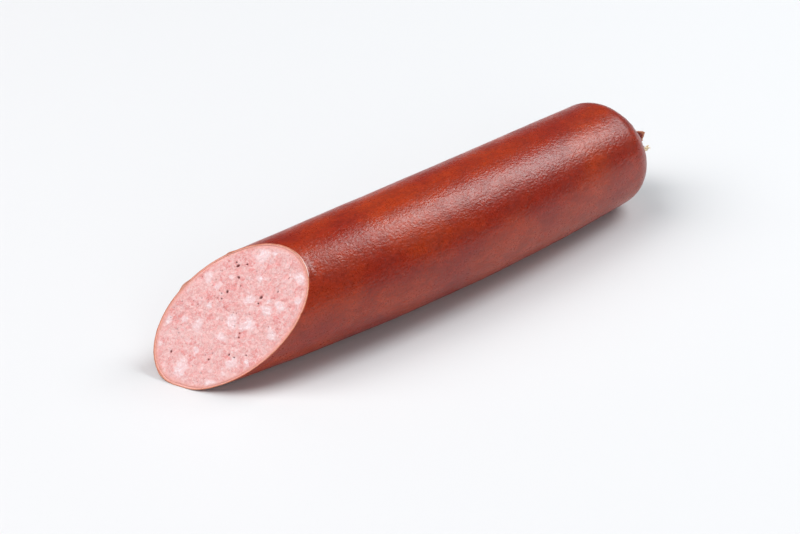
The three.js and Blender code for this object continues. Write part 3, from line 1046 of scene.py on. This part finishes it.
def stray_hairs(tree, given, plies):
    """Short bent fibres that stand off the plies."""
    seed = given["Seed"]
    scatter = {"Mesh": plies, "Density": given["Hair Density"], "Seed": seed}
    spots = add_node(tree, "GeometryNodeDistributePointsOnFaces", scatter)
    line = add_node(tree, "GeometryNodeCurvePrimitiveLine", {"End": (0, 0, 1)})
    bent = add_node(tree, "GeometryNodeResampleCurve", {"Curve": line[0], "Count": 5})
    share = add_node(tree, "GeometryNodeSplineParameter")["Factor"]
    bow = math_node(tree, "MULTIPLY", math_node(tree, "POWER", share, 2.0), 0.7)
    push = add_node(tree, "ShaderNodeCombineXYZ", {"X": bow})[0]
    curved = add_node(tree, "GeometryNodeSetPosition", {"Geometry": bent[0], "Offset": push})
    taper = math_node(tree, "SUBTRACT", 1.1, share)
    hair = swept(tree, curved[0], 3, 0.02, taper)
    turns = {"Min": (-1.1, -1.1, 0), "Max": (1.1, 1.1, 6.28), "Seed": seed}
    tilt = add_node(tree, "FunctionNodeRandomValue", turns, data_type="FLOAT_VECTOR")[0]
    turned = {"Rotation": spots["Rotation"], "Rotate By": tilt}
    lean = add_node(tree, "FunctionNodeRotateEuler", turned, space="LOCAL")[0]
    sizes = {2: 0.4, 3: 1.3, "Seed": seed}
    size = add_node(tree, "FunctionNodeRandomValue", sizes, data_type="FLOAT")[1]
    length = math_node(tree, "MULTIPLY", size, given["Hair Length"])
    spread = {"Points": spots["Points"], "Instance": hair, "Rotation": lean, "Scale": length}
    return add_node(tree, "GeometryNodeInstanceOnPoints", spread)[0]


def socket_id(tree, label):
    """The identifier of a tree's input, by its name."""
    for item in tree.interface.items_tree:
        if item.item_type == "SOCKET" and item.in_out == "INPUT" and item.name == label:
            return item.identifier


def build_twine(material):
    """The tie as one plain mesh, made from its paths by the twine's node tree."""
    twine = path_object(twine_paths())
    tree = twine_tree()
    modifier = twine.modifiers.new("Laid twine", "NODES")
    modifier.node_group = tree
    modifier[socket_id(tree, "Finish")] = material
    for label, value in TWINE_SIZES.items():
        modifier[socket_id(tree, label)] = value
    graph = bpy.context.evaluated_depsgraph_get()
    mesh = bpy.data.meshes.new_from_object(twine.evaluated_get(graph))
    twine.modifiers.clear()
    mesh.name = "neck_twine"
    twine.data = mesh
    return twine


# ---- Studio ----


def build_camera():
    """A long lens that looks down on the sausage from the side of its cut end."""
    level = math.cos(CAMERA_ELEVATION)
    forward = (-math.sin(CAMERA_AZIMUTH) * level, math.cos(CAMERA_AZIMUTH) * level)
    look = Vector((*forward, -math.sin(CAMERA_ELEVATION)))
    data = bpy.data.cameras.new("camera")
    data.lens = CAMERA_LENS
    camera = new_object("camera", data)
    camera.location = CAMERA_AIM - look * CAMERA_DISTANCE
    camera.rotation_euler = look.to_track_quat("-Z", "Y").to_euler()
    bpy.context.scene.camera = camera


def build_table():
    """A plain white table, wide enough to fill every view."""
    mesh = bpy.data.meshes.new("table")
    signs = ((-1, -1), (1, -1), (1, 1), (-1, 1))
    corners = [(x * TABLE_HALF, y * TABLE_HALF, TABLE_LEVEL) for x, y in signs]
    mesh.from_pydata(corners, [], [(0, 1, 2, 3)])
    material, tree, shader, _ = new_material("white table")
    feed(tree, shader, {"Base Color": TABLE_WHITE, "Roughness": 0.6})
    mesh.materials.append(material)
    new_object("table", mesh)


def add_softbox(name, direction, distance, width, depth, power, colour, diffuse):
    """A soft rectangular light that faces the sausage from a direction."""
    data = bpy.data.lights.new(name, "AREA")
    data.shape = "RECTANGLE"
    data.size, data.size_y = width, depth
    data.energy = power
    data.color = colour
    data.diffuse_factor = diffuse
    light = new_object(name, data)
    toward = Vector(direction).normalized()
    light.location = toward * distance
    light.rotation_euler = (-toward).to_track_quat("-Z", "Y").to_euler()


def build_world():
    """A dim studio round a bright table; what the camera sees past the table is pale."""
    world = bpy.data.worlds.new("studio")
    bpy.context.scene.world = world
    world.use_nodes = True
    tree = world.node_tree
    tree.nodes.clear()
    dim = add_node(tree, "ShaderNodeBackground", STUDIO_DIM)
    pale = add_node(tree, "ShaderNodeBackground", STUDIO_PALE)
    seen = add_node(tree, "ShaderNodeLightPath")["Is Camera Ray"]
    mixed = add_node(tree, "ShaderNodeMixShader", {0: seen, 1: dim[0], 2: pale[0]})
    add_node(tree, "ShaderNodeOutputWorld", {"Surface": mixed[0]})


def build_studio():
    build_camera()
    build_table()
    build_world()
    for softbox in SOFTBOXES:
        add_softbox(*softbox)
    bpy.context.scene.view_settings.view_transform = "Standard"


# ---- Assembly ----


def finish_piece(piece, node):
    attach(piece, "root")
    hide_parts(node)


def build_sausage():
    groups = mottle_group(), speck_group(), grain_group(), pebble_group()
    casing = build_casing(casing_material(*groups))
    filling = build_filling(filling_material(*groups))
    twine = build_twine(twine_material(groups[0], groups[2]))
    finish_piece(casing, "casing")
    finish_piece(filling, "filling")
    finish_piece(twine, "tie_twine")


build_studio()
build_sausage()
